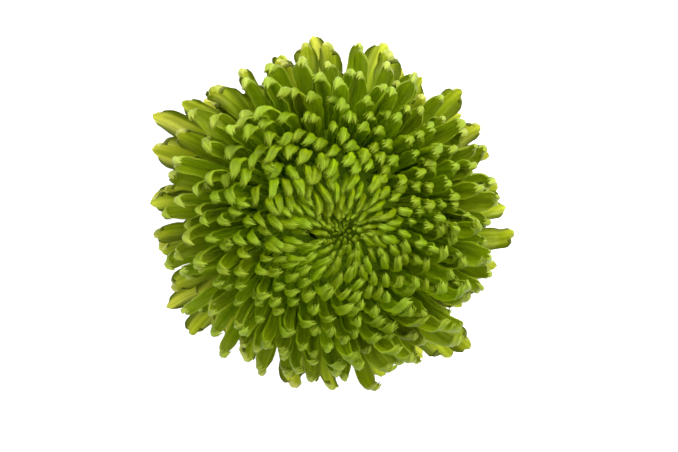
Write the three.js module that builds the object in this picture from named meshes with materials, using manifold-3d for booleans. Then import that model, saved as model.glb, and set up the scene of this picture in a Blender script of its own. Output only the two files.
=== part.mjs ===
// A football mum: one incurved chrysanthemum head, cut just under its cup of bracts and laid face up.
// Millimetres, +Z up. The origin is on the surface that the head lies on, under the middle of its outline.
import * as THREE from "three";
import { mergeVertices } from "three/addons/utils/BufferGeometryUtils.js";
import Module from "manifold-3d";

const wasm = await Module();
wasm.setup();

// Driving dimensions
const floretCount = 404;
const floretSeed = 23;
const goldenAngle = 137.50776; // degrees from one floret to the next
const packRadius = 32.5; // the packed floret bases that every floret stands out of
const packTop = 49;
const packMiddle = 25; // height of its widest level
const packNeck = 10.5; // its radius where it meets the cup of bracts
const packFoot = 14.3;
const packLevels = [1, 0.86, 0.72, 0.5, 0.25]; // places along its outline, from the neck to near the top
const packSides = 18;
const equatorRoot = 0.72; // the place along the pack's outline of its widest level
const rootDepth = 5; // how far a floret's root goes into the pack, towards its middle
const seam = 0.3; // gap left between one piece and the next
const cupRadius = 8.8; // the cup of bracts under the florets
const cupFoot = 5.2;
const cupFootRadius = 3.4;
const cupSides = 20;
const cupBulges = [
  { up: 2.6, wide: 0.72 }, // height above the cup's foot, and the share of its full radius there
  { up: 5.6, wide: 0.95 },
];
const bractRows = [
  { count: 13, turned: 0, root: 6.2, radius: 4.3, length: 6.0, width: 3.4, lean: 40 },
  { count: 13, turned: 0.5, root: 9.0, radius: 7.4, length: 4.8, width: 3.8, lean: 64 },
];
const bractRings = [
  { s: 0.3, thick: 1.2 }, // place along a bract, and its thickness there
  { s: 0.6, thick: 1.1 },
];
const bractEdge = 0.8; // where a bract's edges and its keel lie, as shares of its thickness
const bractKeel = -0.4;
const stalkRadius = 2.9;
const stalkRibs = 6;
const stalkRibDepth = 0.25;
const stalkFoot = 0.4; // the cut end hangs just clear of the surface
const leastThickness = 0.7;
const pressedHeight = 0.9; // a floret that would sink into the surface lies along it at this height
const florets = { color: 0x86a81e, roughness: 0.5 };
const bracts = { color: 0x55752a, roughness: 0.6 };
const stalk = { color: 0x6d8a3c, roughness: 0.55 };

// How a floret changes from the heart (share 0) to the skirt (share 1): where it is rooted along the
// pack's outline, the angles at which it leaves and ends, how late it bends, its length and width,
// and how far its tip leans round the head.
const stages = [
  { share: 0.0, root: 0.0, start: 90, end: 106, late: 1.0, length: 4.9, width: 1.2, lean: 4 },
  { share: 0.05, root: 0.085, start: 87, end: 136, late: 1.0, length: 7.3, width: 1.6, lean: 8 },
  { share: 0.1, root: 0.145, start: 85, end: 158, late: 1.1, length: 10.9, width: 2.0, lean: 12 },
  { share: 0.16, root: 0.21, start: 85, end: 168, late: 1.4, length: 14.2, width: 2.5, lean: 16 },
  { share: 0.25, root: 0.28, start: 81, end: 171, late: 2.0, length: 16.7, width: 3.1, lean: 22 },
  { share: 0.36, root: 0.35, start: 76, end: 166, late: 3.2, length: 17.5, width: 3.9, lean: 30 },
  { share: 0.5, root: 0.44, start: 66, end: 160, late: 4.8, length: 19.6, width: 4.9, lean: 40 },
  { share: 0.64, root: 0.54, start: 53, end: 152, late: 6.0, length: 24.3, width: 5.7, lean: 46 },
  { share: 0.76, root: 0.64, start: 36, end: 140, late: 6.5, length: 28.8, width: 6.4, lean: 48 },
  { share: 0.86, root: 0.75, start: 19, end: 126, late: 7.0, length: 31.2, width: 7.1, lean: 42 },
  { share: 0.93, root: 0.86, start: -4, end: 108, late: 7.0, length: 36.2, width: 7.8, lean: 30 },
  { share: 1.0, root: 1.0, start: -27, end: 62, late: 5.0, length: 49.0, width: 8.0, lean: 18 },
];

// The most that one floret differs from the next, in degrees or as a share. A pair is the heart's value
// and what the skirt has on top of it.
const spread = {
  azimuth: 2.5,
  start: 4,
  end: [6, 14],
  length: [0.05, 0.07],
  width: 0.12,
  lean: 0.9,
  roll: [8, 22],
  sway: [2, 5],
};
const broader = 0.04; // how much longer the skirt's florets are along X, and shorter along Y

// A floret's width along its length, as shares of its full width and of its length.
const blade = { rootWidth: 0.5, widestFrom: 0.6, taperFrom: 0.79, tipWidth: 0.3 };

// Its section: how deep the channel is against half its width, and where its edges, its keel and the
// middle of its inner face lie, as shares of that depth.
const channel = { depth: 0.62, edge: 0.55, keel: -0.45, hollow: 0.35, leastHalfWidth: 0.5 };

const heartShare = 0.3; // florets nearer the centre than this get the fewest faces
const openShare = 0.76; // florets further out than this show a hollowed inner face
const heartCuts = [0.5, 0.83]; // places along a floret where its section is drawn
const skirtCuts = [0.54, 0.79, 0.92];
const tipLift = 0.2; // how far the tip stands towards the inner face

const radians = THREE.MathUtils.degToRad;

// A seeded run of even draws from 0 to 1.
function seededDraws(seed) {
  let state = seed >>> 0;
  return () => {
    state = (Math.imul(state, 1664525) + 1013904223) >>> 0;
    return state / 4294967296;
  };
}

function stageValue(share, key) {
  const next = stages.findIndex((s) => s.share >= share);
  const upper = stages[Math.max(next, 1)];
  const lower = stages[Math.max(next, 1) - 1];
  const part = (share - lower.share) / (upper.share - lower.share);
  return lower[key] + part * (upper[key] - lower[key]);
}

// The pack's outline: a quarter ellipse from the top to the widest level, and another in to the neck.
function packPoint(root) {
  if (root <= equatorRoot) {
    const turn = (root / equatorRoot) * (Math.PI / 2);
    return { r: packRadius * Math.sin(turn), z: packMiddle + (packTop - packMiddle) * Math.cos(turn) };
  }
  const turn = ((root - equatorRoot) / (1 - equatorRoot)) * (Math.PI / 2);
  return {
    r: packNeck + (packRadius - packNeck) * Math.cos(turn),
    z: packMiddle - (packMiddle - packFoot) * Math.sin(turn),
  };
}

// Every floret's place and shape, oldest at the skirt. Each draws its small differences in a fixed order.
function floretPlan() {
  const draw = seededDraws(floretSeed);
  const either = () => 2 * draw() - 1;
  return Array.from({ length: floretCount }, (_, i) => {
    const share = (i + 0.5) / floretCount;
    const value = (key) => stageValue(share, key);
    const differ = ([heart, more]) => (heart + more * share) * either();
    const azimuth = radians(i * goldenAngle + spread.azimuth * either());
    const broad = 1 + broader * share ** 2 * Math.cos(2 * azimuth);
    return {
      share,
      azimuth,
      root: value("root"),
      start: value("start") + spread.start * either(),
      end: value("end") + differ(spread.end),
      late: value("late"),
      length: value("length") * (1 + differ(spread.length)) * broad,
      width: value("width") * (1 + spread.width * either()),
      lean: value("lean") * (1 + spread.lean * either()),
      roll: differ(spread.roll),
      sway: differ(spread.sway),
    };
  });
}

const centrelineSteps = 24;
const widening = 1.2; // powers that set how evenly a blade widens and tapers, and its tip leans
const tapering = 1.4;
const leaning = 3.5;

// The line that a floret follows, with its direction, its side and its inner face's normal at each step.
function floretLine(floret) {
  const out = new THREE.Vector3(Math.cos(floret.azimuth), Math.sin(floret.azimuth), 0);
  const round = new THREE.Vector3(-out.y, out.x, 0);
  const up = new THREE.Vector3(0, 0, 1);
  const base = packPoint(floret.root);
  const at = out.clone().multiplyScalar(base.r).addScaledVector(up, base.z);
  const stations = [];
  let last = null;
  for (let step = 0; step <= centrelineSteps; step++) {
    const s = step / centrelineSteps;
    const rise = radians(floret.start + (floret.end - floret.start) * s ** floret.late);
    const turn = radians(floret.sway * s + floret.lean * s ** leaning);
    const along = out.clone().multiplyScalar(Math.cos(turn) * Math.cos(rise));
    along.addScaledVector(up, Math.cos(turn) * Math.sin(rise)).addScaledVector(round, Math.sin(turn));
    if (last) at.addScaledVector(last.clone().add(along), floret.length / centrelineSteps / 2);
    last = along;
    const face = out.clone().multiplyScalar(-Math.sin(rise)).addScaledVector(up, Math.cos(rise));
    const side = along.clone().cross(face).normalize();
    const inner = side.clone().cross(along);
    const roll = radians(floret.roll * s);
    stations.push({
      at: at.clone().setZ(Math.max(at.z, pressedHeight)),
      side: side.clone().multiplyScalar(Math.cos(roll)).addScaledVector(inner, Math.sin(roll)),
      inner: inner.clone().multiplyScalar(Math.cos(roll)).addScaledVector(side, -Math.sin(roll)),
      along: along.clone(),
    });
  }
  return (s) => stations[Math.round(s * centrelineSteps)];
}

// A blade's width at s, from 0 at its root to 1 at its tip, as a share of its full width.
function outlineWidth(s) {
  const grown = Math.min(s / blade.widestFrom, 1) ** widening;
  const tapered = Math.max((s - blade.taperFrom) / (1 - blade.taperFrom), 0) ** tapering;
  return (blade.rootWidth + (1 - blade.rootWidth) * grown) * (1 - (1 - blade.tipWidth) * tapered);
}

// Rings of points joined into one closed solid that runs to a point at both ends.
function ringsToSolid(root, rings, apex) {
  const ringSize = rings[0].length;
  const positions = [root, ...rings.flat(), apex].flatMap((p) => [p.x, p.y, p.z]);
  const corner = (j, k) => 1 + j * ringSize + (k % ringSize);
  const faces = [];
  for (let k = 0; k < ringSize; k++) {
    faces.push(0, corner(0, k), corner(0, k + 1));
    for (let j = 0; j + 1 < rings.length; j++) {
      faces.push(corner(j, k), corner(j + 1, k), corner(j, k + 1));
      faces.push(corner(j, k + 1), corner(j + 1, k), corner(j + 1, k + 1));
    }
    faces.push(corner(rings.length - 1, k), corner(rings.length, 0), corner(rings.length - 1, k + 1));
  }
  return new wasm.Manifold(
    new wasm.Mesh({
      numProp: 3,
      vertProperties: new Float32Array(positions),
      triVerts: new Uint32Array(faces),
    }),
  );
}

// One floret: a keeled blade whose edges stand up towards its inner face. Nothing goes below the surface.
function floretSolid(floret) {
  const line = floretLine(floret);
  const cuts = floret.share < heartShare ? heartCuts : skirtCuts;
  const rings = cuts.map((s) => {
    const { at, side, inner } = line(s);
    const half = Math.max(channel.leastHalfWidth, (floret.width * outlineWidth(s)) / 2);
    const depth = Math.max(leastThickness, half * channel.depth);
    const point = (across, through, lowest) => {
      const p = at.clone().addScaledVector(side, across * half).addScaledVector(inner, through * depth);
      return p.setZ(Math.max(p.z, lowest));
    };
    const outer = [point(-1, channel.edge, 0), point(0, channel.keel, 0), point(1, channel.edge, 0)];
    return floret.share > openShare ? [...outer, point(0, channel.hollow, leastThickness)] : outer;
  });
  const base = line(0).at;
  const inward = new THREE.Vector3(0, 0, packMiddle).sub(base).normalize();
  const root = base.clone().addScaledVector(inward, rootDepth);
  const last = line(1);
  const apex = last.at.clone().addScaledVector(last.inner, tipLift);
  return ringsToSolid(root, rings, apex);
}

// A closed three.js geometry as a solid.
function geometryToSolid(geometry) {
  const bare = geometry.clone();
  bare.deleteAttribute("normal");
  bare.deleteAttribute("uv");
  const merged = mergeVertices(bare, 1e-4);
  return new wasm.Manifold(
    new wasm.Mesh({
      numProp: 3,
      vertProperties: merged.attributes.position.array,
      triVerts: new Uint32Array(merged.index.array),
    }),
  );
}

function solidToGeometry(solid) {
  const mesh = solid.getMesh();
  const geometry = new THREE.BufferGeometry();
  geometry.setAttribute("position", new THREE.BufferAttribute(mesh.vertProperties, 3));
  geometry.setIndex(new THREE.BufferAttribute(mesh.triVerts, 1));
  return geometry;
}

// A solid of revolution about the upright axis, from points {r, z} that run from the foot to the top.
function turned(points, segments) {
  const profile = points.map((p) => new THREE.Vector2(p.r, p.z));
  return new THREE.LatheGeometry(profile, segments).rotateX(Math.PI / 2);
}

function packGeometry() {
  return turned([{ r: 0, z: packFoot }, ...packLevels.map(packPoint), { r: 0, z: packTop }], packSides);
}

function bloom() {
  const solids = [geometryToSolid(packGeometry()), ...floretPlan().map(floretSolid)];
  return wasm.Manifold.union(solids);
}

// One bract: a pointed scale that lies against the cup.
function bract(row, k) {
  const azimuth = ((k + row.turned) / row.count) * 2 * Math.PI;
  const out = new THREE.Vector3(Math.cos(azimuth), Math.sin(azimuth), 0);
  const side = new THREE.Vector3(out.y, -out.x, 0);
  const up = new THREE.Vector3(0, 0, 1);
  const along = out.clone().multiplyScalar(Math.cos(radians(row.lean)));
  along.addScaledVector(up, Math.sin(radians(row.lean)));
  const inner = side.clone().cross(along);
  const foot = out.clone().multiplyScalar(row.radius).addScaledVector(up, row.root);
  const rings = bractRings.map(({ s, thick }) => {
    const at = foot.clone().addScaledVector(along, s * row.length);
    const point = (across, through) =>
      at.clone().addScaledVector(side, (across * row.width) / 2).addScaledVector(inner, through * thick);
    return [point(-1, bractEdge), point(0, bractKeel), point(1, bractEdge)];
  });
  return ringsToSolid(foot, rings, foot.clone().addScaledVector(along, row.length));
}

function involucre() {
  const top = packFoot - seam;
  const profile = [
    { r: 0, z: cupFoot },
    { r: cupFootRadius, z: cupFoot },
    ...cupBulges.map(({ up, wide }) => ({ r: cupRadius * wide, z: cupFoot + up })),
    { r: cupRadius, z: top },
    { r: 0, z: top },
  ];
  const scales = bractRows.flatMap((row) => Array.from({ length: row.count }, (_, k) => bract(row, k)));
  return wasm.Manifold.union([geometryToSolid(turned(profile, cupSides)), ...scales]);
}

// The cut stub of the flower stalk, with the low ribs that run along it.
function stalkGeometry() {
  const section = new THREE.Shape(
    Array.from({ length: 4 * stalkRibs }, (_, k) => {
      const turn = (k / (4 * stalkRibs)) * 2 * Math.PI;
      const radius = stalkRadius + stalkRibDepth * Math.cos(turn * stalkRibs);
      return new THREE.Vector2(radius * Math.cos(turn), radius * Math.sin(turn));
    }),
  );
  const height = cupFoot - seam - stalkFoot;
  const stub = new THREE.ExtrudeGeometry(section, { depth: height, bevelEnabled: false });
  return stub.translate(0, 0, stalkFoot);
}

function piece(name, geometry, finish) {
  const mesh = new THREE.Mesh(geometry, new THREE.MeshStandardMaterial({ ...finish, metalness: 0 }));
  mesh.name = name;
  return mesh;
}

const mum = new THREE.Group();
mum.add(piece("bloom", solidToGeometry(bloom()), florets));
mum.add(piece("involucre", solidToGeometry(involucre()), bracts));
mum.add(piece("stalk", stalkGeometry(), stalk));

export default mum;
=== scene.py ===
import math

import bmesh
import bpy
import numpy as np
from mathutils import Matrix, Vector


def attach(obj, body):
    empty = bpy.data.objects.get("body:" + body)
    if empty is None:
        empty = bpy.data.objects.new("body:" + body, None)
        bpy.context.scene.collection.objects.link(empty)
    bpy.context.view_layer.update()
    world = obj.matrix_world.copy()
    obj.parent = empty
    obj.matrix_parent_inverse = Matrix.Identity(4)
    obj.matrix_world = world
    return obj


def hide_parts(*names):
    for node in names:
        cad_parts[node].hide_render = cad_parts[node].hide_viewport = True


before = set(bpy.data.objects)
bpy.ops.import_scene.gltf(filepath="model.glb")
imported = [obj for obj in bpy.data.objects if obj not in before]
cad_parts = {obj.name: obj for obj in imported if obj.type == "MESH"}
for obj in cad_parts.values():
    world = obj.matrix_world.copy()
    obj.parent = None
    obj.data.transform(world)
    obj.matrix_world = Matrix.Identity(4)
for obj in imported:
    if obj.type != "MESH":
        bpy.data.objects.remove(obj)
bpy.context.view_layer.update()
print("frame loaded")

mm = 0.001
near = 1e-4     # points of a blade this close are on one row

# The head, in millimetres, as the solids have it
head = {
    "florets": 404,
    "seed": 23,
    "goldenAngle": 137.50776,
    "packRadius": 32.5,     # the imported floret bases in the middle
    "packTop": 49,
    "packMiddle": 25,       # height of their widest level
    "packNeck": 10.5,
    "packFoot": 14.3,
    "equatorRoot": 0.72,    # place of the widest level along the bases' outline
    "pressedHeight": 0.9,   # florets that lie on the surface keep their line this high
    "leaning": 3.5,         # power that keeps the lean near the tip
    "broader": 0.04,        # the skirt is a little wider along X than along Y
}

# How a floret changes from the heart (share 0) to the skirt (share 1): the place of its root along
# the bases' outline, the angles at which it leaves and ends, how late it bends, its length and
# width, and how far its tip leans round the head
growthNames = ["share", "root", "start", "end", "late", "length", "width", "lean"]
growth = [
    [0.0, 0.0, 90, 106, 1.0, 4.9, 1.2, 4],
    [0.05, 0.085, 87, 136, 1.0, 7.3, 1.6, 8],
    [0.1, 0.145, 85, 158, 1.1, 10.9, 2.0, 12],
    [0.16, 0.21, 85, 168, 1.4, 14.2, 2.5, 16],
    [0.25, 0.28, 81, 171, 2.0, 16.7, 3.1, 22],
    [0.36, 0.35, 76, 166, 3.2, 17.5, 3.9, 30],
    [0.5, 0.44, 66, 160, 4.8, 19.6, 4.9, 40],
    [0.64, 0.54, 53, 152, 6.0, 24.3, 5.7, 46],
    [0.76, 0.64, 36, 140, 6.5, 28.8, 6.4, 48],
    [0.86, 0.75, 19, 126, 7.0, 31.2, 7.1, 42],
    [0.93, 0.86, -4, 108, 7.0, 36.2, 7.8, 30],
    [1.0, 1.0, -27, 62, 5.0, 49.0, 8.0, 18],
]

# How much one floret differs from the next: a pair is the amount at the heart, and what the skirt
# has on top of it
spread = {
    "azimuth": 2.5,
    "start": 4,
    "end": (6, 14),
    "length": (0.05, 0.07),
    "width": 0.12,
    "lean": 0.9,
    "roll": (8, 22),
    "sway": (2, 5),
}


def seededDraws(seed):
    # the solids' own generator, so that both draw the same numbers
    times, plus, size = 1664525, 1013904223, 2**32
    state = seed
    while True:
        state = (state * times + plus) % size
        yield state / size


def grown(share, name):
    places = [row[0] for row in growth]
    values = [row[growthNames.index(name)] for row in growth]
    return float(np.interp(share, places, values))


def packPoint(root):
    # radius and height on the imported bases' outline, from the top (0) to the neck (1)
    widest, middle = head["equatorRoot"], head["packMiddle"]
    if root <= widest:
        turn = root / widest * math.pi / 2
        radius = head["packRadius"] * math.sin(turn)
        return radius, middle + (head["packTop"] - middle) * math.cos(turn)
    turn = (root - widest) / (1 - widest) * math.pi / 2
    radius = head["packNeck"] + (head["packRadius"] - head["packNeck"]) * math.cos(turn)
    return radius, middle - (middle - head["packFoot"]) * math.sin(turn)


def floretPlan(seed, shares, first):
    # the same draws in the same order as the solids, so that each fine floret follows its solid one
    draws = seededDraws(seed)
    either = lambda: 2 * next(draws) - 1
    differ = lambda pair, share: (pair[0] + pair[1] * share) * either()
    plan = []
    for i, share in enumerate(shares, first):
        azimuth = math.radians(i * head["goldenAngle"] + spread["azimuth"] * either())
        broad = 1 + head["broader"] * share**2 * math.cos(2 * azimuth)
        plan.append({
            "share": share,
            "azimuth": azimuth,
            "root": grown(share, "root"),
            "start": grown(share, "start") + spread["start"] * either(),
            "end": grown(share, "end") + differ(spread["end"], share),
            "late": grown(share, "late"),
            "length": grown(share, "length") * (1 + differ(spread["length"], share)) * broad,
            "width": grown(share, "width") * (1 + spread["width"] * either()),
            "lean": grown(share, "lean") * (1 + spread["lean"] * either()),
            "roll": differ(spread["roll"], share),
            "sway": differ(spread["sway"], share),
        })
    return plan


# Florets. Each kind is modelled once as a flat blade, 1 long and 1 wide, and each copy is then
# rolled into a channel and bent along its own line. A kind takes the florets from one share to
# another, and has this many faces along and across. Root and tip are widths as shares of the full
# one, widest and taper are places along the blade, and blunt is the power of its taper. Opening is
# half the channel's arc, in degrees, at the root, along the body and at the tip, and hood is how far
# the tip bends over. Thickness, teeth and rounding are in millimetres
floretKinds = {
    "heartFlorets": {
        "from": 0.0, "to": 0.13, "along": 9, "across": 4, "wider": 1.08,
        "root": 0.55, "widest": 0.55, "taper": 0.66, "tip": 0.5, "blunt": 1.6,
        "opening": (80, 80, 74), "hood": 0, "thick": 0.3, "teeth": 0.25, "rounded": 0.4,
    },
    "innerFlorets": {
        "from": 0.13, "to": 0.38, "along": 12, "across": 8, "wider": 1.0,
        "root": 0.5, "widest": 0.6, "taper": 0.76, "tip": 0.64, "blunt": 1.8,
        "opening": (95, 90, 94), "hood": 12, "thick": 0.4, "teeth": 0.9, "rounded": 0.6,
    },
    "middleFlorets": {
        "from": 0.38, "to": 0.68, "along": 13, "across": 8, "wider": 1.03,
        "root": 0.7, "widest": 0.6, "taper": 0.74, "tip": 0.56, "blunt": 1.5,
        "opening": (92, 94, 102), "hood": 20, "thick": 0.45, "teeth": 1.0, "rounded": 0.8,
    },
    "outerFlorets": {
        "from": 0.68, "to": 0.88, "along": 15, "across": 8, "wider": 1.14,
        "root": 0.7, "widest": 0.6, "taper": 0.68, "tip": 0.47, "blunt": 1.4,
        "opening": (88, 102, 118), "hood": 30, "thick": 0.5, "teeth": 0.9, "rounded": 0.8,
    },
    "skirtFlorets": {
        "from": 0.88, "to": 1.01, "along": 15, "across": 8, "wider": 1.16,
        "root": 0.6, "widest": 0.66, "taper": 0.84, "tip": 0.72, "blunt": 2.6,
        "opening": (80, 90, 96), "hood": 16, "thick": 0.5, "teeth": 0.4, "rounded": 0.7,
    },
}
blade = {
    "linePoints": 49,           # points on the line that it is bent along
    "closing": 1.8,             # rows stand closer towards the tip
    "swelling": 1.2,            # power of its growth in width from the root
    "rollOut": 1.3,             # a flat blade is this much wider than its channel
    "openingAt": (0, 0.55, 0.82, 1),
    "raised": 0.45,             # share of the channel's depth that lies behind its line
    "groove": 0.09,             # two grooves run along its back, with a ridge between them
    "grooveAt": 0.5,
    "grooveWide": 0.2,
    "ridge": 0.5,
    "ridgeWide": 0.3,
    "thinEdge": 0.5,
    "thinTip": ((0, 0.8, 1), (1, 1, 0.7)),
    "wave": 0.04,               # its edges wave
    "waves": (9, 14),
    "waveFrom": 0.3,
    "crumple": 0.28,            # and its face is uneven, in millimetres
    "crumples": (14, 22),
    "crumplesAcross": (2, 5),
    "crumpleWidth": 6,          # narrower blades than this are less uneven
    "anyPhase": (0, 6),
    "nodAt": (0.82, 0.18),      # where parts of the tip begin, and their lengths
    "pointAt": (0.75, 0.25),
    "roundAt": (0.8, 0.2),
    "toothAt": (0.9, 0.1),
    "nodding": 1.3,
    "toothTurns": 4,            # half turns of the wave that makes three teeth
    "pressed": 0.8,             # what would sink into the surface is pressed flat on it
}
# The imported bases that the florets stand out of: how far they lie inside the solid ones, in
# millimetres, and how far roots reach in, as a share of the way to the middle
packed = {"segments": 48, "rings": 24, "inset": 1.5, "sunk": 0.25}

# How much a copy may differ from its kind, on top of what the plan says
differing = {
    "opening": 14, "hood": 20, "sickle": 20, "twist": 20, "width": 0.14, "length": 0.08,
    "sway": 6, "azimuth": 3.5, "pointed": 0.16,
}
straighter = 22     # the outermost florets rise less at their tips than their solids, in degrees
# Tips lean and hook most on two sides of the head (in degrees), and between them are short knobs
leanSide = {"towards": 125, "more": 0.65, "late": 1.3, "lateLess": 0.15, "shorter": 0.12}
# Florets between heart and skirt are narrower on one side than on the other, and bend further
narrowSide = {"towards": 195, "narrower": 0.17, "further": 18}
# The share of each of these that a floret has, by its own share
outwards = {
    "azimuth": ((0, 1), (1, 0.4)),
    "hood": ((0.7, 1), (1, 1.6)),
    "length": ((0.85, 1), (1, 2.2)),
    "width": ((0.7, 0.95), (1, 1.8)),
    "straighter": ((0.84, 0.95), (0, 1)),
    "lean": ((0.3, 0.5, 0.8), (1, 0.8, 0.4)),
    "later": ((0.12, 0.45), (0, 1)),
    "narrower": ((0.25, 0.45, 0.85, 0.95), (0, 1, 1, 0)),
}

# More florets than the solids have room for, between the outer ones and under them
between = [
    {"florets": 58, "from": 0.56, "to": 0.86, "seed": 7, "shorter": 0.85},
    {"florets": 72, "from": 0.91, "to": 1.0, "seed": 31, "shorter": 0.78},
]

# Near the heart a floret is short and three are turned away, round a near-black floret of painted
# shade: a small dark hole
hole = {
    "short": 72,
    "shorter": 0.6,
    "apart": [(51, -12), (59, 11), (72, 6)],
    "shadeFloret": {
        "share": 0.15, "azimuth": math.radians(194), "place": (9.0, 46.0), "start": 90, "end": 94,
        "late": 1.0, "length": 7.4, "width": 3.9, "lean": 0, "roll": 0, "sway": 0, "shadeFloret": 1,
    },
}


def lastPart(along, start, length):
    # 0 up to the start, and from there up to 1
    return np.clip((along - start) / length, 0, 1)


def bladeWidth(s, kind):
    # a blade's width along its length, as a share of its full width
    swelling = np.minimum(s / kind["widest"], 1) ** blade["swelling"]
    wide = kind["root"] + (1 - kind["root"]) * swelling
    tapered = np.maximum((s - kind["taper"]) / (1 - kind["taper"]), 0) ** kind["blunt"]
    return wide * (1 - (1 - kind["tip"]) * tapered)


def selectOnly(obj):
    bpy.ops.object.select_all(action="DESELECT")
    obj.select_set(True)
    bpy.context.view_layer.objects.active = obj


def modelBlade(name, kind):
    bpy.ops.object.select_all(action="DESELECT")
    bpy.ops.mesh.primitive_grid_add(
        x_subdivisions=kind["across"], y_subdivisions=kind["along"], size=1)
    flat = bpy.context.object
    flat.name = name + "Blade"
    bpy.ops.object.mode_set(mode="EDIT")
    bpy.ops.mesh.select_all(action="SELECT")
    bpy.ops.transform.translate(value=(0, 0.5, 0))
    for row in range(kind["along"] + 1):  # each row goes to its place along the blade and to its width
        place = row / kind["along"]
        moved = 1 - (1 - place) ** blade["closing"]
        bpy.ops.mesh.select_all(action="DESELECT")
        sheet = bmesh.from_edit_mesh(flat.data)
        for v in sheet.verts[:]:
            v.select_set(not v.tag and abs(v.co.y - place) < near)
        chosen = [v for v in sheet.verts if v.select]
        for v in chosen:
            v.tag = True
        wide = float(bladeWidth(moved, kind))
        bpy.ops.transform.translate(value=(0, moved - place, 0))
        bpy.ops.transform.resize(value=(wide, 1, 1), center_override=(0, moved, 0))
    bpy.ops.object.mode_set(mode="OBJECT")
    # the map runs across the blade and along it
    for corner, uv in zip(flat.data.loops, flat.data.uv_layers[0].data):
        x, y = flat.data.vertices[corner.vertex_index].co.xy
        uv.uv = (0.5 + x / float(bladeWidth(y, kind)), y)
    shell = flat.modifiers.new("Solidify", "SOLIDIFY")
    shell.thickness = kind["thick"]
    shell.offset = 0
    selectOnly(flat)
    bpy.ops.object.modifier_apply(modifier=shell.name)
    bpy.ops.object.shade_smooth()
    innerFace = flat.data.attributes.new("innerFace", "FLOAT", "POINT")
    for v, value in zip(flat.data.vertices, innerFace.data):
        value.value = 1.0 if v.co.z > 0 else 0.0
    return flat


def ownFloret(floret, kind, chance):
    # a floret of the plan with its own differences, and what bends and opens its tip
    own = {name: differing[name] * chance.uniform(-1, 1) for name in differing}
    amount = {name: np.interp(floret["share"], *ramp) for name, ramp in outwards.items()}
    floret = dict(floret)
    own["hood"] = kind["hood"] + own["hood"] * amount["hood"]
    floret["azimuth"] += math.radians(own["azimuth"]) * amount["azimuth"]
    floret["length"] *= 1 + own["length"] * amount["length"]
    floret["sway"] += own["sway"]
    floret["end"] -= straighter * amount["straighter"]
    leaning = math.cos(2 * (floret["azimuth"] - math.radians(leanSide["towards"])))
    floret["lean"] *= amount["lean"] * (1 + leanSide["more"] * leaning)
    own["sickle"] *= 1 + leanSide["more"] * leaning
    later = (leanSide["late"] - leanSide["lateLess"] * leaning - 1) * amount["later"]
    floret["late"] *= 1 + later
    floret["length"] *= 1 - leanSide["shorter"] * later
    narrow = math.cos(floret["azimuth"] - math.radians(narrowSide["towards"])) * amount["narrower"]
    floret["end"] += narrowSide["further"] * max(narrow, 0)
    floret["width"] *= (1 + own["width"] * amount["width"]) * (1 - narrowSide["narrower"] * narrow)
    return floret, own


def floretLine(floret, own):
    # points, sides and inner normals along a floret's middle, in millimetres
    s = np.linspace(0, 1, blade["linePoints"])
    out = np.array([math.cos(floret["azimuth"]), math.sin(floret["azimuth"]), 0])
    around = np.array([-out[1], out[0], 0])
    up = np.array([0, 0, 1.0])
    nod = lastPart(s, *blade["nodAt"]) ** blade["nodding"]
    rise = floret["start"] + (floret["end"] - floret["start"]) * s ** floret["late"]
    rise = np.radians(rise + own["hood"] * nod)
    turn = floret["sway"] * s + floret["lean"] * s ** head["leaning"] + own["sickle"] * nod
    turn = np.radians(turn)
    along = (np.cos(turn) * np.cos(rise))[:, None] * out + (np.cos(turn) * np.sin(rise))[:, None] * up
    along = along + np.sin(turn)[:, None] * around
    radius, height = floret.get("place") or packPoint(floret["root"])
    steps = (along[1:] + along[:-1]) * floret["length"] / (len(s) - 1) / 2
    at = radius * out + height * up + np.vstack([np.zeros(3), np.cumsum(steps, axis=0)])
    at[:, 2] = np.maximum(at[:, 2], head["pressedHeight"])
    face = -np.sin(rise)[:, None] * out + np.cos(rise)[:, None] * up
    side = np.cross(along, face)
    side /= np.linalg.norm(side, axis=1)[:, None]
    inner = np.cross(side, along)
    roll = np.radians(floret["roll"] * s + own["twist"] * nod)[:, None]
    return s, at, np.cos(roll) * side + np.sin(roll) * inner, np.cos(roll) * inner - np.sin(roll) * side


def rollBlade(flat, floret, own, kind, chance):
    # how far a flat blade's points go to the side of the line, inwards from it and past its end
    x, y, z = flat
    outline = bladeWidth(y, kind)
    across = np.clip(2 * x / outline, -1, 1)    # -1 to 1 from edge to edge
    width = outline * floret["width"] * blade["rollOut"] * kind["wider"]
    width = width * (1 - own["pointed"] * lastPart(y, *blade["pointAt"]))
    opening = np.interp(y, blade["openingAt"], np.take(kind["opening"], [0, 1, 1, 2]))
    arc = np.radians(opening + own["opening"])
    radius = width / 2 / arc
    depth = radius * (1 - np.cos(arc))
    # the shell is thinner at its edges, and grooved along its back
    shell = z * (1 - (1 - blade["thinEdge"]) * across**2) * np.interp(y, *blade["thinTip"])
    groove = np.exp(-(((np.abs(across) - blade["grooveAt"]) / blade["grooveWide"]) ** 2))
    groove = groove - blade["ridge"] * np.exp(-((across / blade["ridgeWide"]) ** 2))
    wave = np.sin(y * chance.uniform(*blade["waves"]) + chance.uniform(*blade["anyPhase"]))
    wave = wave * across**2 * np.clip(y - blade["waveFrom"], 0, 1)
    crumple = y * chance.uniform(*blade["crumples"]) + across * chance.uniform(*blade["crumplesAcross"])
    crumple = np.sin(crumple + chance.uniform(*blade["anyPhase"]))
    crumple = crumple * np.clip(2 * y, 0, 1) * np.clip(width / blade["crumpleWidth"], 0, 1)
    shell = shell + blade["groove"] * width * groove + blade["wave"] * width * wave
    shell = shell + blade["crumple"] * crumple
    sideways = (radius - shell) * np.sin(across * arc)
    inwards = radius - (radius - shell) * np.cos(across * arc) - blade["raised"] * depth
    # the tip is rounded, with three small teeth
    tooth = np.cos(across * blade["toothTurns"] * math.pi) * lastPart(y, *blade["toothAt"]) ** 2
    rounded = across**2 * lastPart(y, *blade["roundAt"]) ** 2
    return sideways, inwards, kind["teeth"] * tooth - kind["rounded"] * rounded


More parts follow.
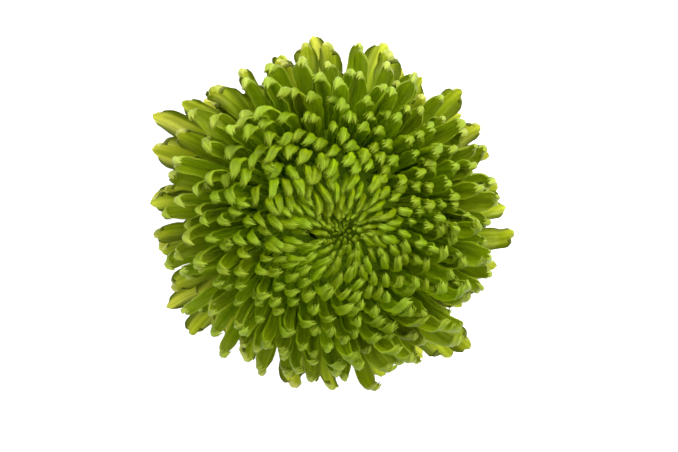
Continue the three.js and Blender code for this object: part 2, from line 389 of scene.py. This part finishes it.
def growFloret(model, floret, kind, number):
    chance = np.random.default_rng(number)
    floret, own = ownFloret(floret, kind, chance)
    copy = model.copy()
    copy.data = model.data.copy()
    copy.name = "floret%03d" % number
    bpy.context.collection.objects.link(copy)
    places = np.zeros(len(copy.data.vertices) * 3)
    copy.data.vertices.foreach_get("co", places)
    flat = places.reshape(-1, 3).T
    y = flat[1]
    sideways, inwards, past = rollBlade(flat, floret, own, kind, chance)
    s, at, side, inner = floretLine(floret, own)
    onLine = lambda values: np.column_stack([np.interp(y, s, values[:, k]) for k in range(3)])
    tipWay = (at[-1] - at[-2]) / np.linalg.norm(at[-1] - at[-2])
    points = onLine(at) + sideways[:, None] * onLine(side) + inwards[:, None] * onLine(inner)
    points += past[:, None] * tipWay
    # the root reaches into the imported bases
    points[y < near] += (np.array([0, 0, head["packMiddle"]]) - at[0]) * packed["sunk"]
    low = blade["pressed"]
    points[:, 2] = np.where(points[:, 2] > low, points[:, 2], low * np.exp((points[:, 2] - low) / low))
    copy.data.vertices.foreach_set("co", (points * mm).ravel())
    # one of these marks turns the floret in the hole near the heart near-black, as painted shade
    marks = {"tone": chance.uniform(), "age": floret["share"], "shadeFloret": floret.get("shadeFloret", 0)}
    for name, value in marks.items():
        mark = copy.data.attributes.new(name, "FLOAT", "POINT")
        mark.data.foreach_set("value", np.full(len(y), float(value)))
    return copy


def growFlorets(name, kind, plan):
    model = modelBlade(name, kind)
    chosen = [(i, f) for i, f in enumerate(plan) if kind["from"] <= f["share"] < kind["to"]]
    grownOnes = [growFloret(model, floret, kind, i) for i, floret in chosen]
    bpy.data.objects.remove(model)
    bpy.ops.object.select_all(action="DESELECT")
    for obj in grownOnes:
        obj.select_set(True)
    bpy.context.view_layer.objects.active = grownOnes[0]
    bpy.ops.object.join()
    piece = bpy.context.object
    piece.name = name
    print(name, len(grownOnes), "florets", len(piece.data.polygons), "faces")
    return piece


plan = floretPlan(head["seed"], [(i + 0.5) / head["florets"] for i in range(head["florets"])], 0)
for more in between:
    shares = np.linspace(more["from"], more["to"], more["florets"])
    for floret in floretPlan(more["seed"], shares, len(plan)):
        floret["length"] *= more["shorter"]
        plan.append(floret)
plan[hole["short"]]["length"] *= hole["shorter"]
for number, turned in hole["apart"]:
    plan[number]["azimuth"] += math.radians(turned)
plan.append(hole["shadeFloret"])
floretPieces = [growFlorets(name, kind, plan) for name, kind in floretKinds.items()]


def modelPack():
    bpy.ops.object.select_all(action="DESELECT")
    bpy.ops.mesh.primitive_uv_sphere_add(
        segments=packed["segments"], ring_count=packed["rings"], radius=1)
    made = bpy.context.object
    made.name = "packedBases"
    quarter = math.pi / 2
    for v in made.data.vertices:
        way = math.atan2(v.co.y, v.co.x)
        polar = math.acos(max(-1, min(1, v.co.z)))  # 0 at the top
        if polar <= quarter:
            radius, height = packPoint(polar / quarter * head["equatorRoot"])
        else:
            share = (polar - quarter) / quarter
            radius, height = packPoint(head["equatorRoot"] + share * (1 - head["equatorRoot"]))
            if share > 0.999:   # the lowest point closes the neck
                radius = 0
        radius = max(radius - packed["inset"], 0)
        height = height - packed["inset"] * v.co.z
        v.co = Vector((radius * math.cos(way), radius * math.sin(way), height)) * mm
    selectOnly(made)
    bpy.ops.object.shade_smooth()
    return made


pack = modelPack()

# Cup of bracts under the florets, in millimetres: the cup's outline from its foot up, and the rows
# of bracts on it. A bract is modelled as the florets are, and leans along the cup
cup = {
    "sides": 39,
    "outline": [
        (3.1, 4.7), (4.4, 5.3), (5.8, 6.5), (7.0, 8.2), (7.9, 10.3), (8.4, 12.4), (8.6, 13.9)],
}
bractNames = ["turned", "place", "start", "end", "length", "width"]
bractRows = [
    [0.0, (3.9, 5.6), 18, 64, 6.2, 3.3],
    [0.5, (5.9, 7.0), 38, 80, 6.6, 3.7],
    [0.25, (7.3, 9.2), 58, 86, 5.6, 3.9],
]
bractsInRow = 13
bractShare = 0.5    # bracts differ from each other as the middle florets do
bractKind = {
    "from": 0.0, "to": 1.01, "along": 8, "across": 6, "wider": 0.95,
    "root": 0.8, "widest": 0.35, "taper": 0.5, "tip": 0.12, "blunt": 1.5,
    "opening": (36, 34, 30), "hood": -10, "thick": 0.4, "teeth": 0.0, "rounded": 0.8,
}


def closeRing(obj, height):
    # a face over the open ring of edges at this height, then all faces outwards
    touching = 1e-6
    bpy.ops.mesh.select_all(action="DESELECT")
    sheet = bmesh.from_edit_mesh(obj.data)
    for v in sheet.verts:
        v.select_set(abs((obj.matrix_world @ v.co).z - height) < touching)
    sheet.select_flush(True)
    bpy.ops.mesh.edge_face_add()
    bpy.ops.mesh.select_all(action="SELECT")
    bpy.ops.mesh.remove_doubles(threshold=touching)
    bpy.ops.mesh.normals_make_consistent(inside=False)
    bpy.ops.object.mode_set(mode="OBJECT")


def modelCup():
    bpy.ops.object.select_all(action="DESELECT")
    radius, height = cup["outline"][0]
    bpy.ops.mesh.primitive_circle_add(
        vertices=cup["sides"], radius=radius * mm, location=(0, 0, height * mm))
    made = bpy.context.object
    made.name = "bractCup"
    bpy.ops.object.mode_set(mode="EDIT")
    bpy.ops.mesh.select_all(action="SELECT")
    for (wasRadius, wasHeight), (radius, height) in zip(cup["outline"], cup["outline"][1:]):
        rise = (0, 0, (height - wasHeight) * mm)
        bpy.ops.mesh.extrude_region_move(TRANSFORM_OT_translate={"value": rise})
        grow = radius / wasRadius
        bpy.ops.transform.resize(value=(grow, grow, 1), center_override=(0, 0, height * mm))
    bpy.ops.mesh.edge_face_add()
    closeRing(made, cup["outline"][0][1] * mm)
    bpy.ops.object.transform_apply(location=True, rotation=True, scale=True)
    bpy.ops.object.shade_smooth()
    return made


bractPlan = []
for row in bractRows:
    values = dict(zip(bractNames, row))
    turned = values.pop("turned")
    for i in range(bractsInRow):
        azimuth = math.tau * (i + turned) / bractsInRow
        still = {"late": 1.0, "lean": 0, "roll": 0, "sway": 0}
        bractPlan.append({"share": bractShare, "azimuth": azimuth, **still, **values})
bracts = growFlorets("bracts", bractKind, bractPlan)
bractCup = modelCup()

# Stub of the stalk, in millimetres: low ribs, the rounded edge of its bark, and the pith that lies
# a little way into its cut end
stub = {
    "radius": 2.9, "foot": 0.4, "top": 5.4, "steps": 5,
    "ribs": 6, "perRib": 6, "ribHeight": 0.09,
    "bark": 0.75, "rounding": 0.15, "roundingDepth": 0.12,
    "pithIn": 0.2, "pithSlope": 0.12, "pithMiddle": 0.6,
    "slack": 0.01, "smoothBelow": 50,
}


def modelStub():
    bpy.ops.object.select_all(action="DESELECT")
    sides = stub["ribs"] * stub["perRib"]
    foot = stub["foot"] * mm
    bpy.ops.mesh.primitive_circle_add(
        vertices=sides, radius=stub["radius"] * mm, fill_type="NGON", location=(0, 0, foot))
    made = bpy.context.object
    made.name = "stalkStub"
    bpy.ops.object.mode_set(mode="EDIT")
    for spoke in range(sides):  # ribs stand out, furrows lie in
        way = math.cos(spoke / stub["perRib"] * math.tau) * stub["ribHeight"]
        bpy.ops.mesh.select_all(action="DESELECT")
        sheet = bmesh.from_edit_mesh(made.data)
        sheet.verts.ensure_lookup_table()
        sheet.verts[spoke].select_set(True)
        bpy.ops.transform.resize(value=(1 + way, 1 + way, 1), center_override=(0, 0, foot))
    bpy.ops.mesh.select_all(action="SELECT")
    rise = (stub["top"] - stub["foot"]) / stub["steps"]
    for step in range(stub["steps"]):
        bpy.ops.mesh.extrude_region_move(TRANSFORM_OT_translate={"value": (0, 0, rise * mm)})
    closeRing(made, foot)
    bpy.ops.object.transform_apply(location=True, rotation=True, scale=True)
    bpy.ops.object.mode_set(mode="EDIT")
    bpy.ops.mesh.select_all(action="DESELECT")
    sheet = bmesh.from_edit_mesh(made.data)
    for face in sheet.faces:  # the cut end is the face that looks down
        atFoot = face.calc_center_median().z < (stub["foot"] + stub["slack"]) * mm
        face.select_set(face.normal.z < -0.9 and atFoot)
    bpy.ops.mesh.inset(thickness=stub["rounding"] * mm, depth=stub["roundingDepth"] * mm)
    bpy.ops.mesh.inset(thickness=(stub["bark"] - stub["rounding"]) * mm)
    bpy.ops.mesh.inset(thickness=stub["pithSlope"] * mm, depth=-stub["pithIn"] * mm)
    bpy.ops.mesh.inset(thickness=stub["pithMiddle"] * mm)
    bpy.ops.object.mode_set(mode="OBJECT")
    bpy.ops.object.shade_smooth_by_angle(angle=math.radians(stub["smoothBelow"]))
    return made


stalkStub = modelStub()
print("bracts and stub modelled")


# Materials
def newMaterial(name):
    material = bpy.data.materials.new(name)
    material.use_nodes = True
    return material, material.node_tree


def newGroup(name, inputs, outputs):
    group = bpy.data.node_groups.new(name, "ShaderNodeTree")
    for direction, sockets in (("INPUT", inputs), ("OUTPUT", outputs)):
        for label, kind, value in sockets:
            socket = group.interface.new_socket(
                name=label, in_out=direction, socket_type="NodeSocket" + kind)
            if value is not None:
                socket.default_value = value
    return group, group.nodes.new("NodeGroupInput"), group.nodes.new("NodeGroupOutput")


def give(tree, sockets, values):
    # each socket gets its constant or its link
    for socket, value in zip(sockets, values):
        if isinstance(value, (int, float, tuple)):
            socket.default_value = value
        else:
            tree.links.new(value, socket)


def mathNode(tree, operation, *values):
    node = tree.nodes.new("ShaderNodeMath")
    node.operation = operation
    give(tree, node.inputs, values)
    return node.outputs[0]


def mixNode(tree, factor, first, second, blend="MIX"):
    node = tree.nodes.new("ShaderNodeMix")
    node.data_type = "RGBA"
    node.blend_type = blend
    give(tree, (node.inputs["Factor"], node.inputs[6], node.inputs[7]), (factor, first, second))
    return node.outputs[2]


def maskNode(tree, value, low, high, most=1.0):
    # 0 at the low value, rising to the most at the high one
    node = tree.nodes.new("ShaderNodeMapRange")
    sockets = [node.inputs[name] for name in ("Value", "From Min", "From Max", "To Max")]
    give(tree, sockets, (value, low, high, most))
    return node.outputs[0]


def placeNode(tree, *values):
    node = tree.nodes.new("ShaderNodeCombineXYZ")
    give(tree, node.inputs, values)
    return node.outputs[0]


def noiseNode(tree, place, detail, scale=1.0):
    node = tree.nodes.new("ShaderNodeTexNoise")
    node.inputs["Scale"].default_value = scale
    node.inputs["Detail"].default_value = detail
    tree.links.new(place, node.inputs["Vector"])
    return node.outputs["Fac"]


def markNode(tree, name):
    node = tree.nodes.new("ShaderNodeAttribute")
    node.attribute_name = name
    return node.outputs["Fac"]


def bladePlace(tree):
    # the places across a blade and along it
    uv = tree.nodes.new("ShaderNodeUVMap")
    uv.uv_map = "UVMap"
    parts = tree.nodes.new("ShaderNodeSeparateXYZ")
    tree.links.new(uv.outputs[0], parts.inputs[0])
    return parts.outputs[0], parts.outputs[1]


def shadeNode(tree, colour, lightness, hue=0.5):
    node = tree.nodes.new("ShaderNodeHueSaturation")
    sockets = [node.inputs[name] for name in ("Color", "Value", "Hue")]
    give(tree, sockets, (colour, lightness, hue))
    return node.outputs[0]


def dressSurface(tree, colour, height, surface):
    shader = tree.nodes["Principled BSDF"]
    bump = tree.nodes.new("ShaderNodeBump")
    sockets = [shader.inputs[name] for name in ("Base Color", "Roughness", "Specular IOR Level")]
    give(tree, sockets, (colour, surface["roughness"], surface["shine"]))
    sockets = [bump.inputs[name] for name in ("Height", "Strength", "Distance")]
    give(tree, sockets, (height, surface["bump"], surface["bumpDepth"]))
    tree.links.new(bump.outputs[0], shader.inputs["Normal"])
    return shader


# Colours along a floret, from its root to its tip, and what changes them
floretColours = {
    # root and body are far lighter than the cap: painted light that lifts the shade deep between the
    # florets
    "root": (0.60, 0.88, 0.006, 1),
    "body": (0.50, 0.75, 0.005, 1),
    "bend": (0.27, 0.43, 0.003, 1),
    "cap": (0.18, 0.295, 0.003, 1),
    "neck": (0.26, 0.41, 0.010, 1),       # where the cap narrows to the tip, lighter than the cap as painted highlight
    # the tip: partly its own paler colour and partly painted highlight
    "tip": (0.33, 0.47, 0.025, 1),
    "rim": (0.60, 0.63, 0.045, 1),        # the outermost florets
    "yellowGlowPatch": (0.84, 0.87, 0.19, 1),       # where these are thin and yellow, brightened further as painted glow of light through them
    "rimEdge": (0.09, 0.125, 0.006, 1),
    "rimWall": (0.20, 0.26, 0.08, 1),     # their raised sides are multiplied by this
    "vein": (0.50, 0.56, 0.4, 1),         # and veins by this
    # pale margins: partly their own colour, partly painted light through the thin edge
    "margin": (0.50, 0.66, 0.035, 1),
    # the inner face of a floret: painted shade
    "hollow": (0.24, 0.36, 0.002, 1),
    "behind": (0.68, 0.82, 0.02, 1),      # light that comes through, and through the outermost
    "rimBehind": (1.0, 1.0, 0.32, 1),
    "hollowBehind": (0.25, 0.3, 0.2, 1),  # painted shade: a hollow has more florets under it
    # a near-black floret put in the hole near the heart: painted shade
    "shadeFloret": (0.006, 0.010, 0.001, 1),
    "packed": (0.15, 0.27, 0.003, 1),     # the bases in the middle, darkened as painted shade between the florets' roots
}
# Places along a floret where its colours stand, and where masks begin and end
floretMarks = {
    "stops": ((0.4, "body"), (0.74, "bend"), (0.84, "cap"), (0.93, "neck")),
    "paleTipHighlight": (0.93, 0.99),
    "veins": (9.0, 1.8, 61.0),      # scales across, along and from one floret to the next
    "veinDetail": 1.5,
    "veinMask": (0.42, 0.62),
    "patches": (1.6, 3.4, 83.0),
    "patchDetail": 1.0,
    "patchMask": (0.44, 0.56),
    "rimFrom": 0.66,                # share at which florets begin to turn yellower
    "rimGain": 3.0,
    "rimPower": 2.4,
    "wall": (0.24, 0.36),           # distances from the middle line
    "margin": (0.40, 0.48, 0.9),
    "rimEdge": (5.0, -0.5),         # how steeply margins turn dark, and how late
    "hues": (0.014, 0.488),         # from one floret to the next, and the least
    "tones": 0.22,
    "ageing": (-0.2, 0.9),          # those round the heart are lighter
    "mottle": (2.0, 900.0),         # detail and scale
    "mottleAmount": 0.24,
    "through": 0.6,                 # how little light through a floret has of its own colour
}


def makeFloretPattern():
    # a floret's colour, the light that comes through it and its height, from its map and its marks
    tree, given, result = newGroup(
        "floretPattern",
        [("veinAmount", "Float", 0.25), ("rimAmount", "Float", 0.0), ("hollowAmount", "Float", 0.5),
         ("marginAmount", "Float", 0.5), ("paleTipHighlight", "Float", 1.0)],
        [("colour", "Color", None), ("glow", "Color", None), ("height", "Float", None)],
    )
    marks, colours, amounts = floretMarks, floretColours, given.outputs
    across, along = bladePlace(tree)
    tone, age, innerFace, shadeFloret = [
        markNode(tree, name) for name in ("tone", "age", "innerFace", "shadeFloret")]
    work = lambda operation, *values: mathNode(tree, operation, *values)
    times = lambda *values: mathNode(tree, "MULTIPLY", *values)
    scaled = lambda scales: placeNode(
        tree, *[times(value, scale) for value, scale in zip((across, along, tone), scales)])
    veins = noiseNode(tree, scaled(marks["veins"]), marks["veinDetail"])
    veins = maskNode(tree, veins, *marks["veinMask"])
    patches = noiseNode(tree, scaled(marks["patches"]), marks["patchDetail"])
    patches = maskNode(tree, patches, *marks["patchMask"])
    ramp = tree.nodes.new("ShaderNodeValToRGB")
    stops = ramp.color_ramp.elements
    stops[0].position, stops[0].color = 0.0, colours["root"]
    stops[1].position, stops[1].color = 1.0, colours["neck"]
    for position, name in marks["stops"]:
        stop = stops.new(position)
        stop.color = colours[name]
    tree.links.new(along, ramp.inputs[0])
    # a pale tip, partly the tips' own paler colour and partly painted highlight
    tipPaleAndHighlight = times(maskNode(tree, along, *marks["paleTipHighlight"]), amounts["paleTipHighlight"])
    colour = mixNode(tree, tipPaleAndHighlight, ramp.outputs[0], colours["tip"])
    # the inner face is darkened with painted shade, the outer florets turn yellower towards their tips
    outermost = times(work("SUBTRACT", age, marks["rimFrom"]), marks["rimGain"])
    outermost = work("MINIMUM", work("MAXIMUM", outermost, 0.0), 1.0)
    rimShare = times(outermost, work("POWER", along, marks["rimPower"]))
    rimShare = times(rimShare, amounts["rimAmount"])
    inside = times(innerFace, amounts["hollowAmount"])
    inside = times(inside, work("SUBTRACT", 1.0, rimShare))
    colour = mixNode(tree, inside, colour, colours["hollow"])
    colour = mixNode(tree, rimShare, colour, colours["rim"])
    # thin yellow patches, brightened as painted glow of the light through them
    colour = mixNode(tree, times(patches, rimShare), colour, colours["yellowGlowPatch"])
    veinShare = times(veins, amounts["veinAmount"])
    colour = mixNode(tree, veinShare, colour, colours["vein"], "MULTIPLY")
    # thin margins, pale on most florets, partly their own colour and partly painted light through the
    # thin edge, and dark on the outermost, whose sides are darker too
    edge = work("ABSOLUTE", work("SUBTRACT", across, 0.5))
    wallShare = times(times(outermost, amounts["rimAmount"]), along)
    wallShare = times(maskNode(tree, edge, *marks["wall"]), wallShare)
    colour = mixNode(tree, wallShare, colour, colours["rimWall"], "MULTIPLY")
    edgeShare = work("MULTIPLY_ADD", rimShare, *marks["rimEdge"])
    edgeColour = mixNode(tree, edgeShare, colours["margin"], colours["rimEdge"])
    marginShare = times(maskNode(tree, edge, *marks["margin"]), along)
    colour = mixNode(tree, times(marginShare, amounts["marginAmount"]), colour, edgeColour)
    # soft mottling all over, and each floret has its own tone
    place = tree.nodes.new("ShaderNodeTexCoord").outputs["Object"]
    mottle = noiseNode(tree, place, *marks["mottle"])
    lightness = work("MULTIPLY_ADD", tone, marks["tones"], work("MULTIPLY_ADD", age, *marks["ageing"]))
    lightness = work("MULTIPLY_ADD", mottle, marks["mottleAmount"], lightness)
    colour = shadeNode(tree, colour, lightness, work("MULTIPLY_ADD", tone, *marks["hues"]))
    # what comes through a floret: less through veins and sides, and less through hollows as painted
    # shade
    behind = mixNode(tree, rimShare, colours["behind"], colours["rimBehind"])
    behind = mixNode(tree, veinShare, behind, colours["vein"], "MULTIPLY")
    behind = mixNode(tree, wallShare, behind, colours["rimWall"], "MULTIPLY")
    behind = mixNode(tree, times(inside, along), behind, colours["hollowBehind"], "MULTIPLY")
    glow = mixNode(tree, marks["through"], colour, behind)
    # the floret in the hole is turned near-black, as painted shade
    for value, name in ((colour, "colour"), (glow, "glow")):
        value = mixNode(tree, shadeFloret, value, colours["shadeFloret"])
        tree.links.new(value, result.inputs[name])
    tree.links.new(work("SUBTRACT", 1.0, veins), result.inputs["height"])
    return tree


floretPattern = makeFloretPattern()
lookNames = ["veinAmount", "rimAmount", "hollowAmount", "marginAmount", "paleTipHighlight"]
petalLooks = {      # the amounts above, and how much light comes through
    "heartFlorets": ((0.8, 0.0, 0.5, 0.3, 0.3), 0.4),
    "innerFlorets": ((0.65, 0.0, 0.5, 0.3, 0.8), 0.48),
    "middleFlorets": ((0.5, 0.1, 0.6, 0.25, 1.0), 0.54),
    "outerFlorets": ((0.4, 0.45, 1.0, 0.6, 0.75), 0.44),
    "skirtFlorets": ((0.6, 1.0, 1.0, 1.0, 0.15), 0.66),
}
petalSurface = {"roughness": 0.4, "shine": 0.08, "bump": 0.8, "bumpDepth": 0.0003}


def petalMaterial(name, amounts, thin):
    material, tree = newMaterial(name)
    pattern = tree.nodes.new("ShaderNodeGroup")
    pattern.node_tree = floretPattern
    give(tree, [pattern.inputs[label] for label in lookNames], amounts)
    shader = dressSurface(tree, pattern.outputs["colour"], pattern.outputs["height"], petalSurface)
    glow = tree.nodes.new("ShaderNodeBsdfTranslucent")
    tree.links.new(pattern.outputs["glow"], glow.inputs["Color"])
    mix = tree.nodes.new("ShaderNodeMixShader")
    give(tree, mix.inputs, (thin, shader.outputs[0], glow.outputs[0]))
    tree.links.new(mix.outputs[0], tree.nodes["Material Output"].inputs[0])
    return material


for piece in floretPieces:
    piece.data.materials.clear()
    piece.data.materials.append(petalMaterial(piece.name + "Green", *petalLooks[piece.name]))

# the bases are darkened as painted shade between the florets' roots
packMaterial, packTree = newMaterial("packShadeGreen")
packShader = packTree.nodes["Principled BSDF"]
packShader.inputs["Base Color"].default_value = floretColours["packed"]
packShader.inputs["Roughness"].default_value = 0.8
packShader.inputs["Specular IOR Level"].default_value = 0.1
pack.data.materials.append(packMaterial)


# Bracts, cup and stub: matte, with streaks that run their length
greenParts = {
    "bract": (0.115, 0.20, 0.035, 1),
    "bractBase": (0.19, 0.29, 0.07, 1),
    "papery": (0.46, 0.43, 0.23, 1),      # a bract's dry margin
    "bractStreak": (0.06, 0.11, 0.02, 1),
    "cup": (0.15, 0.24, 0.05, 1),
    "bark": (0.22, 0.33, 0.075, 1),
    "furrow": (0.11, 0.18, 0.035, 1),
    "cutRing": (0.30, 0.40, 0.13, 1),
    "pith": (0.68, 0.70, 0.46, 1),
    "pithRadius": 1.95,
}
bractSurface = {
    "streaks": (16.0, 1.5, 47.0),   # scales across, along and from one bract to the next
    "softness": 0.12,
    "streakShare": 0.5,
    "papery": (0.43, 0.5),          # distances from the middle line
    "paperyPoint": 0.09,
    "tones": (0.3, 0.85),
    "roughness": 0.7, "shine": 0.25, "bump": 0.6, "bumpDepth": 0.0001,
}
roundSurface = {
    "rise": 90.0,                   # the streaks' scale upwards
    "softness": 0.15,
    "grain": (3.0, 2600.0),         # detail and scale of the cut end's grain
    "grainShare": 0.3,
    "blur": 0.12,                   # of the pith's edge, in millimetres
    "above": 0.05,                  # the cut end's colour goes this much higher, and stops this
    "within": 0.25,                 # far inside the edge
    "roughness": 0.65, "shine": 0.25, "bump": 0.6, "bumpDepth": 0.0001,
}


def makeStreaks():
    # a mask of fine streaks along the second coordinate of the given place
    tree, given, result = newGroup(
        "streaks", [("place", "Vector", None), ("softness", "Float", 0.2)], [("mask", "Float", None)])
    noise = noiseNode(tree, given.outputs["place"], 2.0)
    low, high = [mathNode(tree, way, 0.5, given.outputs["softness"]) for way in ("SUBTRACT", "ADD")]
    tree.links.new(maskNode(tree, noise, low, high), result.inputs["mask"])
    return tree


streaks = makeStreaks()


def streakNode(tree, place, softness):
    # streaks in a material: three values for the place, the first one across the streaks
    node = tree.nodes.new("ShaderNodeGroup")
    node.node_tree = streaks
    node.inputs["softness"].default_value = softness
    tree.links.new(placeNode(tree, *place), node.inputs["place"])
    return node.outputs["mask"]


def bractMaterial():
    material, tree = newMaterial("bractGreen")
    look = bractSurface
    work = lambda operation, *values: mathNode(tree, operation, *values)
    across, along = bladePlace(tree)
    tone = markNode(tree, "tone")
    place = [work("MULTIPLY", *pair) for pair in zip((across, along, tone), look["streaks"])]
    mask = streakNode(tree, place, look["softness"])
    colour = mixNode(tree, along, greenParts["bractBase"], greenParts["bract"])
    streakShare = work("MULTIPLY", mask, look["streakShare"])
    colour = mixNode(tree, streakShare, colour, greenParts["bractStreak"])
    # papery margins, broader towards the point
    edge = work("ABSOLUTE", work("SUBTRACT", across, 0.5))
    edge = work("MULTIPLY_ADD", along, look["paperyPoint"], edge)
    colour = mixNode(tree, maskNode(tree, edge, *look["papery"]), colour, greenParts["papery"])
    colour = shadeNode(tree, colour, work("MULTIPLY_ADD", tone, *look["tones"]))
    dressSurface(tree, colour, mask, look)
    return material


def roundMaterial(name, streakCount, base, streak, cutEnd):
    # streaks that run up a round piece about the upright axis, and the pith if it has a cut end
    material, tree = newMaterial(name)
    look = roundSurface
    work = lambda operation, *values: mathNode(tree, operation, *values)
    times = lambda *values: mathNode(tree, "MULTIPLY", *values)
    place = tree.nodes.new("ShaderNodeTexCoord").outputs["Object"]
    parts = tree.nodes.new("ShaderNodeSeparateXYZ")
    tree.links.new(place, parts.inputs[0])
    x, y, z = parts.outputs
    radius = work("SQRT", work("MULTIPLY_ADD", x, x, times(y, y)))
    turn = work("ARCTAN2", y, x)
    # the cosine and sine keep the streaks whole where the angle starts again
    ways = [times(work(way, turn), streakCount) for way in ("COSINE", "SINE")]
    mask = streakNode(tree, (ways[0], times(z, look["rise"]), ways[1]), look["softness"])
    colour = mixNode(tree, mask, base, streak)
    height = mask
    if cutEnd:
        grain = noiseNode(tree, place, *look["grain"])
        pithEdge, blur = greenParts["pithRadius"], look["blur"]
        inPith = maskNode(tree, radius, (pithEdge + blur) * mm, (pithEdge - blur) * mm)
        cutFace = mixNode(tree, inPith, greenParts["cutRing"], greenParts["pith"])
        cutFace = mixNode(tree, times(grain, look["grainShare"]), cutFace, greenParts["cutRing"])
        atCut = work("LESS_THAN", z, (stub["foot"] + stub["pithIn"] + look["above"]) * mm)
        within = work("LESS_THAN", radius, (stub["radius"] - look["within"]) * mm)
        onCut = times(atCut, within)
        colour = mixNode(tree, onCut, colour, cutFace)
        height = work("MAXIMUM", mask, times(grain, onCut))
    dressSurface(tree, colour, height, look)
    return material


bracts.data.materials.clear()
bracts.data.materials.append(bractMaterial())
cupMaterial = roundMaterial("cupGreen", 14.0, greenParts["cup"], greenParts["bractStreak"], False)
bractCup.data.materials.append(cupMaterial)
stubMaterial = roundMaterial("stalkGreen", 9.0, greenParts["bark"], greenParts["furrow"], True)
stalkStub.data.materials.append(stubMaterial)
print("materials made")


# Floor, light and camera
stage = {
    "floorSize": 4.0,
    "floorGlow": 0.8,
    "worldLight": 1.05,
    "lightPlace": (0.36, 0.66, 0.52),
    "lightSize": 1.0,
    "lightPower": 14.5,
    "gamma": 1.22,      # the photograph's soft tones
}


def makeStage():
    bpy.ops.object.select_all(action="DESELECT")
    bpy.ops.mesh.primitive_plane_add(size=stage["floorSize"])
    floor = bpy.context.object
    floor.name = "floor"
    material, tree = newMaterial("paleFloor")
    shader = tree.nodes["Principled BSDF"]
    shader.inputs["Base Color"].default_value = (0.9, 0.9, 0.9, 1)
    shader.inputs["Roughness"].default_value = 0.8
    shader.inputs["Emission Color"].default_value = (1, 1, 1, 1)
    shader.inputs["Emission Strength"].default_value = stage["floorGlow"]
    floor.data.materials.append(material)
    world = bpy.data.worlds.new("softRoom")
    world.use_nodes = True
    world.node_tree.nodes["Background"].inputs[0].default_value = (1, 1, 1, 1)
    world.node_tree.nodes["Background"].inputs[1].default_value = stage["worldLight"]
    bpy.context.scene.world = world


def placeLight():
    light = bpy.data.lights.new("keyLight", "AREA")
    light.shape = "DISK"
    light.size = stage["lightSize"]
    light.energy = stage["lightPower"]
    lamp = bpy.data.objects.new("keyLight", light)
    bpy.context.collection.objects.link(lamp)
    lamp.location = stage["lightPlace"]
    lamp.rotation_euler = (-Vector(stage["lightPlace"])).to_track_quat("-Z", "Y").to_euler()


view = {"lens": 100, "tilt": 11, "towards": 135, "distance": 0.635, "aim": (2.5, -2.2, 30.0)}


def placeCamera():
    camera = bpy.data.cameras.new("camera")
    camera.lens = view["lens"]
    eye = bpy.data.objects.new("camera", camera)
    bpy.context.collection.objects.link(eye)
    tilt, towards = math.radians(view["tilt"]), math.radians(view["towards"])
    sideways, up = math.sin(tilt), math.cos(tilt)
    back = Vector((math.cos(towards) * sideways, math.sin(towards) * sideways, up))
    right = Vector((0, 1, 0)).cross(back).normalized()
    matrix = Matrix((right, back.cross(right), back)).transposed().to_4x4()
    matrix.translation = Vector(view["aim"]) * mm + back * view["distance"]
    eye.matrix_world = matrix
    bpy.context.scene.camera = eye


makeStage()
placeLight()
placeCamera()
bpy.context.scene.view_settings.view_transform = "Standard"
bpy.context.scene.view_settings.gamma = stage["gamma"]
print("stage set")

slots = {"florets": floretPieces + [pack], "bracts": [bractCup, bracts], "stalk": [stalkStub]}
for slot, pieces in slots.items():
    for piece in pieces:
        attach(piece, "root")
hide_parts("bloom")
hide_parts("involucre")
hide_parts("stalk")
